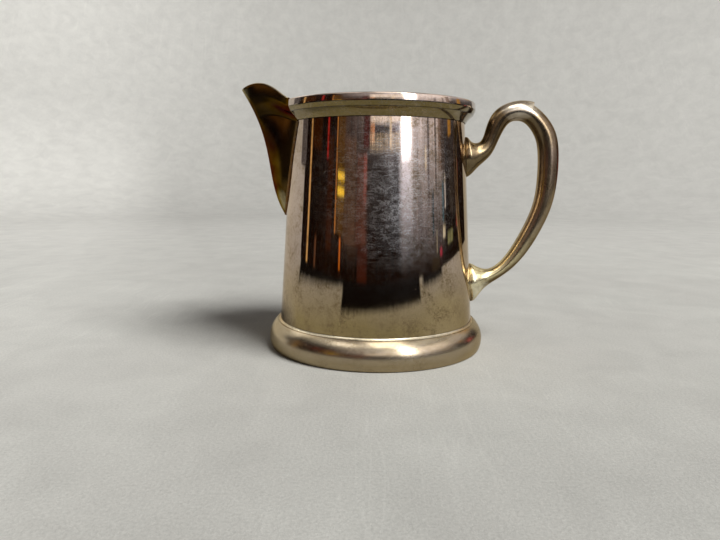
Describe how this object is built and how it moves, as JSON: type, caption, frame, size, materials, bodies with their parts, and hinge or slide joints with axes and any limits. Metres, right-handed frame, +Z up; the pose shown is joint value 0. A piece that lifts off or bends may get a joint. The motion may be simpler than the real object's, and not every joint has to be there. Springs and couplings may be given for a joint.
{
  "type": "cream jug",
  "caption": "Small silver-plated cream jug: tapered drum on a rounded foot ring, beaded rim, folded beak spout and a looped cast handle.",
  "frame": {"origin": "centre of the foot ring's resting plane, on the axis of the drum", "axes": "+Z up through the mouth, +X towards the handle, -X towards the spout, Y across"},
  "size_m": [0.1109, 0.0766, 0.091],
  "materials": {
    "drum_plate": "polished",
    "bottom_plate": "satin",
    "foot_plate": "polished",
    "rim_plate": "polished",
    "spout_plate": "polished",
    "handle_plate": "polished",
    "solder": "satin"
  },
  "bodies": {
    "root": {"drum": "drum_plate", "bottom_plate": "bottom_plate", "foot_ring": "foot_plate", "rim_moulding": "rim_plate", "spout": "spout_plate", "handle": "handle_plate", "foot_solder": "solder", "bottom_solder": "solder", "rim_solder": "solder", "spout_solder": "solder", "upper_handle_solder": "solder", "lower_handle_solder": "solder"}
  },
  "joints": []
}
